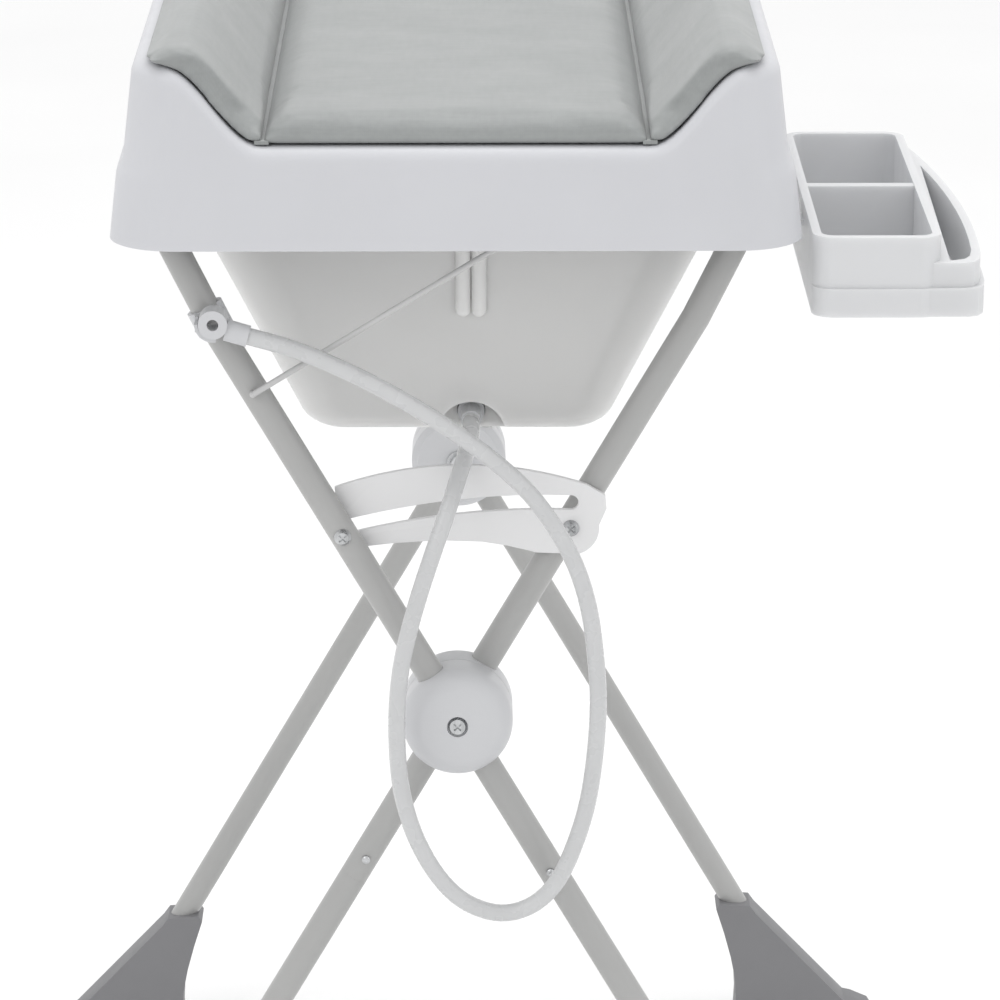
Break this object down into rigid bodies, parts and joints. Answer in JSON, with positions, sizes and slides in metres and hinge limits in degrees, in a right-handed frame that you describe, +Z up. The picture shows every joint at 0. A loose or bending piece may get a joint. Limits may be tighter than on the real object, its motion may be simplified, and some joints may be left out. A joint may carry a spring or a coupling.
{
  "type": "changing table",
  "caption": "Folding changing table with a padded lift-up top over a baby bath, hung in crossed tube frames, with a drain hose and a hook-on caddy.",
  "frame": {"origin": "on the floor, below the middle of the stand and of the top", "axes": "+X to the side where the caddy hangs, +Y from the end with the drain hose to the far end, +Z up"},
  "size_m": [0.728, 0.763, 1.006],
  "materials": {
    "frame_paint": "satin powder coat on steel tube",
    "boot_plastic": "matt mid grey moulded plastic",
    "dark_rubber": "matt",
    "zinc_steel": "bright zinc plated",
    "white_plastic": "satin white moulded plastic",
    "top_plastic": "fine grained white moulded plastic",
    "bath_plastic": "milky translucent moulded plastic",
    "hose_pvc": "smooth soft plastic hose",
    "pad_fabric": "grey wipe-clean woven cover"
  },
  "bodies": {
    "stand_a": {"rail_left": "frame_paint", "corners_left": "frame_paint", "upper_leg_a_front": "frame_paint", "upper_leg_a_rear": "frame_paint", "lower_leg_a_front": "frame_paint", "lower_leg_a_rear": "frame_paint", "boot_a_front": "boot_plastic", "boot_a_rear": "boot_plastic", "soles_a": "dark_rubber", "button_springs_a": "zinc_steel", "hub_shell_a_front": "white_plastic", "hub_shell_a_rear": "white_plastic", "hub_bolts": "zinc_steel", "hub_nuts": "zinc_steel", "hub_washers": "zinc_steel", "link_slot_screw": "zinc_steel", "hose_clip": "white_plastic"},
    "stand_b": {"rail_right": "frame_paint", "corners_right": "frame_paint", "upper_leg_b_front": "frame_paint", "upper_leg_b_rear": "frame_paint", "lower_leg_b_front": "frame_paint", "lower_leg_b_rear": "frame_paint", "boot_b_front": "boot_plastic", "boot_b_rear": "boot_plastic", "soles_b": "dark_rubber", "button_springs_b": "zinc_steel", "hub_shell_b_front": "white_plastic", "hub_shell_b_rear": "white_plastic", "link_pivot_screw": "zinc_steel"},
    "link": {"link_plate": "white_plastic"},
    "bath": {"bath_pan": "bath_plastic", "bath_sides": "bath_plastic", "bath_ends": "bath_plastic", "bath_corners": "bath_plastic", "bath_rim": "bath_plastic", "drain_spigot": "white_plastic", "drain_seal": "dark_rubber", "drain_hose": "hose_pvc", "hose_fitting": "white_plastic"},
    "plug": {"drain_plug": "boot_plastic"},
    "top": {"changing_top": "top_plastic", "hinge_pins": "zinc_steel", "top_bumpers": "dark_rubber", "pad_middle": "pad_fabric", "pad_side_left": "pad_fabric", "pad_side_right": "pad_fabric", "pad_studs": "white_plastic"},
    "stay": {"stay_wire": "frame_paint"},
    "caddy_box": {"caddy": "top_plastic"},
    "button_1": {"button_a_front": "zinc_steel"},
    "button_2": {"button_a_rear": "zinc_steel"},
    "button_3": {"button_b_front": "zinc_steel"},
    "button_4": {"button_b_rear": "zinc_steel"}
  },
  "joints": [
    {"name": "frame_fold", "type": "hinge", "parent": "stand_a", "child": "stand_b", "pos_m": [0, 0, 0.52], "axis": [0, -1, 0], "range_deg": [0, 46]},
    {"name": "bath_lift", "type": "slide", "parent": "stand_a", "child": "bath", "axis": [0, 0, 1], "range_m": [0, 1.01]},
    {"name": "link_swing", "type": "hinge", "parent": "stand_b", "child": "link", "pos_m": [0.0795, -0.322, 0.6566], "axis": [0, -1, 0], "range_deg": [0, 2.5]},
    {"name": "top_open", "type": "hinge", "parent": "bath", "child": "top", "pos_m": [-0.228, 0, 0.877], "axis": [0, -1, 0], "range_deg": [0, 80]},
    {"name": "stay_swing", "type": "hinge", "parent": "stand_a", "child": "stay", "pos_m": [-0.14026, -0.349, 0.761], "axis": [0, 1, 0], "range_deg": [0, 45]},
    {"name": "caddy_unhook", "type": "slide", "parent": "bath", "child": "caddy_box", "axis": [0, 0, 1], "range_m": [0, 0.008]},
    {"name": "plug_pull", "type": "slide", "parent": "bath", "child": "plug", "axis": [0, 1, 0], "range_m": [0, 0.015]},
    {"name": "button_a_front_press", "type": "slide", "parent": "stand_a", "child": "button_1", "axis": [0, 1, 0], "range_m": [0, 0.003], "stiffness_N_per_m": 300, "springref_m": -0.002},
    {"name": "button_a_rear_press", "type": "slide", "parent": "stand_a", "child": "button_2", "axis": [0, -1, 0], "range_m": [0, 0.003], "stiffness_N_per_m": 300, "springref_m": -0.002},
    {"name": "button_b_front_press", "type": "slide", "parent": "stand_b", "child": "button_3", "axis": [0, 1, 0], "range_m": [0, 0.003], "stiffness_N_per_m": 300, "springref_m": -0.002},
    {"name": "button_b_rear_press", "type": "slide", "parent": "stand_b", "child": "button_4", "axis": [0, -1, 0], "range_m": [0, 0.003], "stiffness_N_per_m": 300, "springref_m": -0.002}
  ],
  "couplings": [
    {"joint": "bath_lift", "follows": "frame_fold", "m_per_rad": 1.25},
    {"joint": "link_swing", "follows": "frame_fold", "ratio": 0.05}
  ]
}
